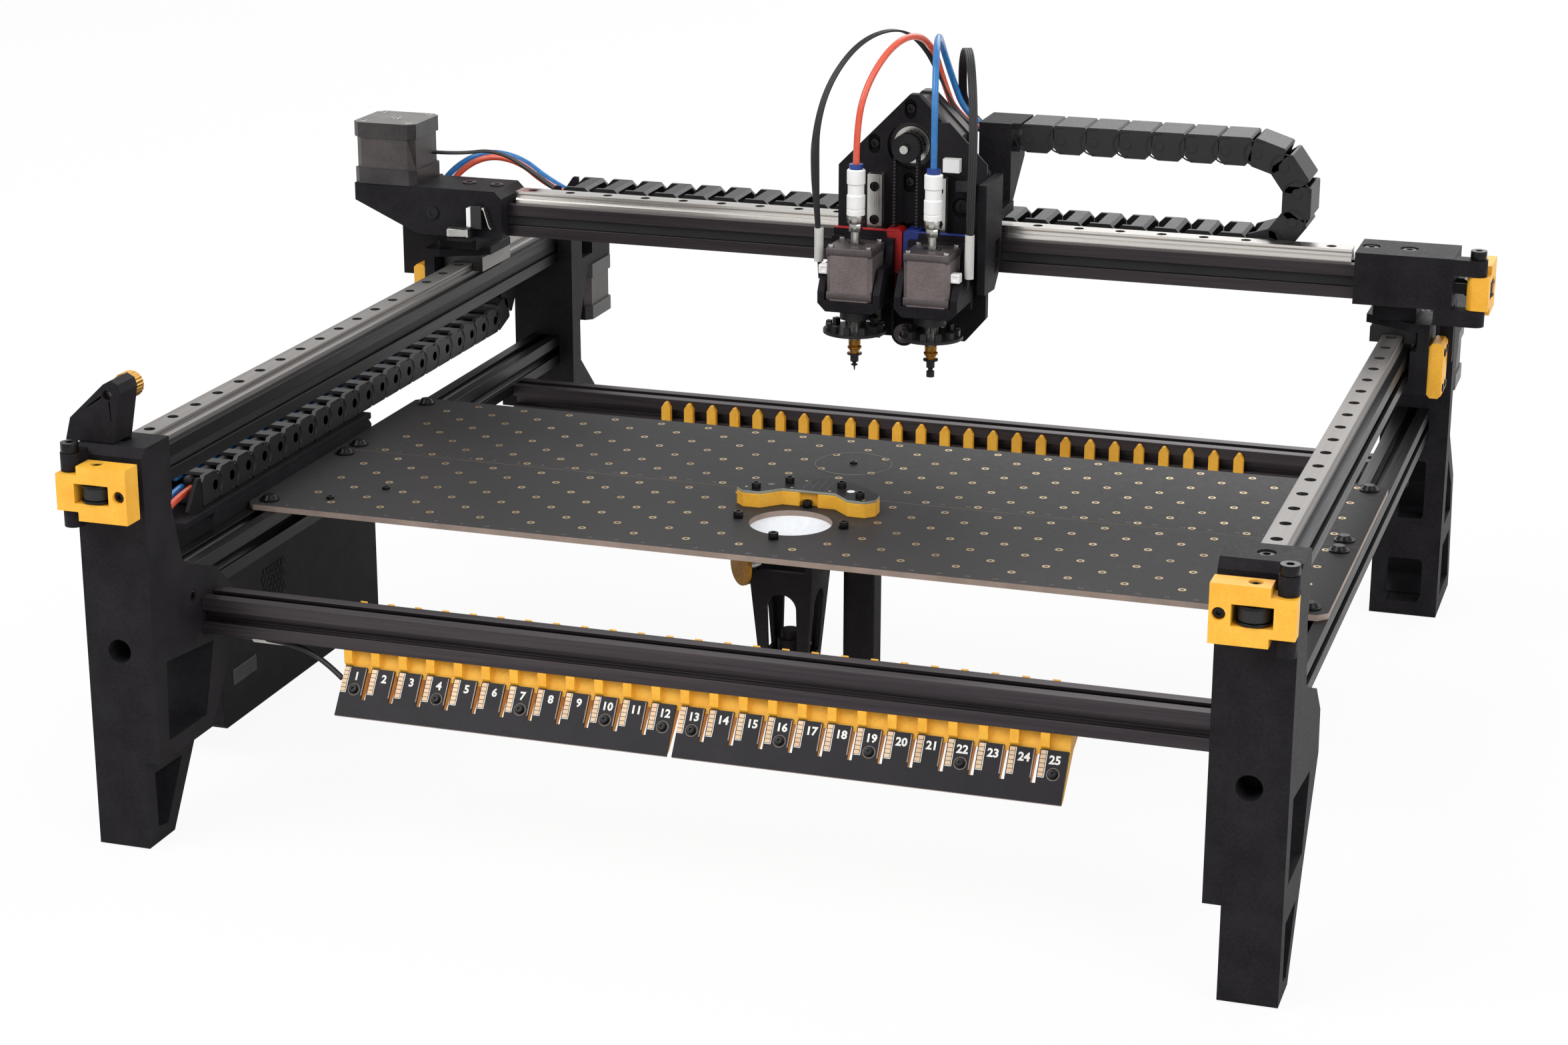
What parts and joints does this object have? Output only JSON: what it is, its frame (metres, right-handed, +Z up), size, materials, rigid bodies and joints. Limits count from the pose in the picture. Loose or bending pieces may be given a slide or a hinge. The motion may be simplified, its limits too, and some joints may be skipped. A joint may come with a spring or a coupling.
{
  "type": "desktop pick and place machine",
  "caption": "Desktop pick and place machine: slotted-beam frame on printed legs, belt-driven gantry, two-nozzle head, drag chains, work plates and feeder slots.",
  "frame": {"origin": "on the floor, at the middle of the footprint's bounding box", "axes": "+X to the operator's right, +Y away from the operator, +Z up"},
  "size_m": [0.7076, 0.6784, 0.3836],
  "materials": {
    "printed_black": "matte",
    "printed_dark": "matte",
    "printed_yellow": "matte",
    "anodised_black": "satin anodised",
    "rail_steel": "ground",
    "plate_black": "satin",
    "screw_black": "black oxide",
    "diffuser_white": "matte",
    "board_black": "solder mask",
    "knob_brass": "knurled",
    "motor_black": "satin",
    "belt_rubber": "matte",
    "cable_black": "satin",
    "pulley_alu": "turned",
    "pulley_black": "turned anodised",
    "chain_black": "satin",
    "switch_black": "satin",
    "lever_steel": "sheet",
    "grip_red": "matte",
    "grip_blue": "matte",
    "nozzle_steel": "turned"
  },
  "bodies": {
    "frame": {"front_legs": "printed_black", "rear_legs": "printed_black", "y_beams": "anodised_black", "cross_beams": "anodised_black", "y_rails": "rail_steel", "plates": "plate_black", "frame_hardware": "screw_black", "light_ring": "diffuser_white", "camera_tower": "printed_dark", "nozzle_rack": "printed_yellow", "feeder_strips": "printed_yellow", "slot_boards": "board_black", "knob_bracket": "printed_black", "housing": "printed_black", "y_motors": "motor_black", "y_belts": "belt_rubber", "frame_cables": "cable_black"},
    "thumb_knob": {"thumb_knob": "knob_brass"},
    "tensioner_left": {"tensioner_left": "printed_yellow"},
    "tensioner_right": {"tensioner_right": "printed_yellow"},
    "y_idler_left": {"y_idler_left": "pulley_black"},
    "y_idler_right": {"y_idler_right": "pulley_black"},
    "y_pulley_left": {"y_pulley_left": "pulley_alu"},
    "y_pulley_right": {"y_pulley_right": "pulley_alu"},
    "gantry": {"gantry_block_left": "printed_black", "gantry_block_right": "printed_black", "x_beam": "anodised_black", "x_rail": "rail_steel", "slider_brackets": "printed_black", "y_carriages": "rail_steel", "belt_clamps": "printed_yellow", "x_motor": "motor_black", "x_belt": "belt_rubber", "limit_switches": "switch_black", "y_chain": "chain_black", "x_chain": "chain_black", "x_chain_tray": "printed_black", "gantry_cables": "cable_black"},
    "x_pulley": {"x_pulley": "pulley_alu"},
    "tensioner_x": {"tensioner_x": "printed_yellow"},
    "x_idler": {"x_idler": "pulley_black"},
    "switch_lever_x": {"switch_lever_x": "lever_steel"},
    "switch_lever_y": {"switch_lever_y": "lever_steel"},
    "head": {"head_guides": "rail_steel", "head_bracket": "printed_black", "head_plate": "printed_black", "head_board": "board_black", "z_motor": "motor_black", "z_belt": "belt_rubber", "head_cords": "cable_black"},
    "z_pulley": {"z_pulley": "pulley_black"},
    "z_idler": {"z_idler": "pulley_black"},
    "slide_left": {"nozzle_slide_left": "grip_red", "motor_mount_left": "printed_black", "nozzle_motor_left": "motor_black"},
    "slide_right": {"nozzle_slide_right": "grip_blue", "motor_mount_right": "printed_black", "nozzle_motor_right": "motor_black"},
    "spindle_left": {"spindle_left": "nozzle_steel"},
    "spindle_right": {"spindle_right": "nozzle_steel"}
  },
  "joints": [
    {"name": "gantry_travel", "type": "slide", "parent": "frame", "child": "gantry", "axis": [0, 1, 0], "range_m": [-0.38, 0.085], "deforming": ["y_chain", "y_belts", "frame_cables"]},
    {"name": "head_travel", "type": "slide", "parent": "gantry", "child": "head", "axis": [1, 0, 0], "range_m": [-0.224, 0.204], "deforming": ["x_chain", "gantry_cables", "x_belt"]},
    {"name": "left_nozzle_lift", "type": "slide", "parent": "head", "child": "slide_left", "axis": [0, 0, 1], "range_m": [-0.031, 0.031], "deforming": ["head_cords", "z_belt"]},
    {"name": "right_nozzle_lift", "type": "slide", "parent": "head", "child": "slide_right", "axis": [0, 0, 1], "range_m": [-0.031, 0.031]},
    {"name": "z_pulley_turn", "type": "hinge", "parent": "head", "child": "z_pulley", "pos_m": [0.01243, 0.09723, 0.316], "axis": [0, 1, 0], "range_deg": [-260, 260]},
    {"name": "z_idler_turn", "type": "hinge", "parent": "head", "child": "z_idler", "pos_m": [0.01243, 0.09723, 0.2038], "axis": [0, 1, 0], "range_deg": [-260, 260]},
    {"name": "left_spindle_turn", "type": "hinge", "parent": "slide_left", "child": "spindle_left", "pos_m": [-0.01107, 0.07103, 0.21], "axis": [0, 0, 1], "continuous": true},
    {"name": "right_spindle_turn", "type": "hinge", "parent": "slide_right", "child": "spindle_right", "pos_m": [0.03592, 0.07103, 0.21], "axis": [0, 0, 1], "continuous": true},
    {"name": "x_pulley_turn", "type": "hinge", "parent": "gantry", "child": "x_pulley", "pos_m": [-0.33267, 0.13073, 0.2493], "axis": [0, 0, 1], "range_deg": [-2000, 2000]},
    {"name": "x_tensioner_swing", "type": "hinge", "parent": "gantry", "child": "tensioner_x", "pos_m": [0.34532, 0.11572, 0.2493], "axis": [0, 0, 1], "range_deg": [-1, 1]},
    {"name": "x_idler_turn", "type": "hinge", "parent": "tensioner_x", "child": "x_idler", "pos_m": [0.34532, 0.13073, 0.2493], "axis": [0, 0, 1], "range_deg": [-2000, 2000]},
    {"name": "x_switch_lever", "type": "hinge", "parent": "gantry", "child": "switch_lever_x", "pos_m": [-0.26367, 0.10702, 0.259], "axis": [0, 1, 0], "range_deg": [0, 4], "stiffness_Nm_per_rad": 0.01, "springref_deg": -11.46},
    {"name": "y_switch_lever", "type": "hinge", "parent": "gantry", "child": "switch_lever_y", "pos_m": [-0.27268, 0.09963, 0.2439], "axis": [0, 0, 1], "range_deg": [-4, 0], "stiffness_Nm_per_rad": 0.01, "springref_deg": 11.46},
    {"name": "thumb_screw", "type": "hinge", "parent": "frame", "child": "thumb_knob", "pos_m": [-0.29107, -0.29597, 0.2449], "axis": [0, 1, 0], "continuous": true},
    {"name": "left_tensioner_swing", "type": "hinge", "parent": "frame", "child": "tensioner_left", "pos_m": [-0.30447, -0.33067, 0.1993], "axis": [0, 0, 1], "range_deg": [-1, 1]},
    {"name": "left_y_idler_turn", "type": "hinge", "parent": "tensioner_left", "child": "y_idler_left", "pos_m": [-0.28947, -0.33067, 0.1993], "axis": [0, 0, 1], "range_deg": [-3400, 3400]},
    {"name": "left_y_pulley_turn", "type": "hinge", "parent": "frame", "child": "y_pulley_left", "pos_m": [-0.28947, 0.31803, 0.1993], "axis": [0, 0, 1], "range_deg": [-3400, 3400]},
    {"name": "right_tensioner_swing", "type": "hinge", "parent": "frame", "child": "tensioner_right", "pos_m": [0.31312, -0.33067, 0.1993], "axis": [0, 0, 1], "range_deg": [-1, 1]},
    {"name": "right_y_idler_turn", "type": "hinge", "parent": "tensioner_right", "child": "y_idler_right", "pos_m": [0.29812, -0.33067, 0.1993], "axis": [0, 0, 1], "range_deg": [-3400, 3400]},
    {"name": "right_y_pulley_turn", "type": "hinge", "parent": "frame", "child": "y_pulley_right", "pos_m": [0.29812, 0.31803, 0.1993], "axis": [0, 0, 1], "range_deg": [-3400, 3400]}
  ],
  "couplings": [
    {"joint": "right_nozzle_lift", "follows": "left_nozzle_lift", "ratio": -1},
    {"joint": "z_pulley_turn", "follows": "left_nozzle_lift", "rad_per_m": 144.93},
    {"joint": "z_idler_turn", "follows": "left_nozzle_lift", "rad_per_m": 144.93},
    {"joint": "x_pulley_turn", "follows": "head_travel", "rad_per_m": 144.93},
    {"joint": "x_idler_turn", "follows": "head_travel", "rad_per_m": 144.93},
    {"joint": "right_y_idler_turn", "follows": "gantry_travel", "rad_per_m": 144.93},
    {"joint": "right_y_pulley_turn", "follows": "gantry_travel", "rad_per_m": 144.93},
    {"joint": "left_y_idler_turn", "follows": "gantry_travel", "rad_per_m": -144.93},
    {"joint": "left_y_pulley_turn", "follows": "gantry_travel", "rad_per_m": -144.93}
  ]
}
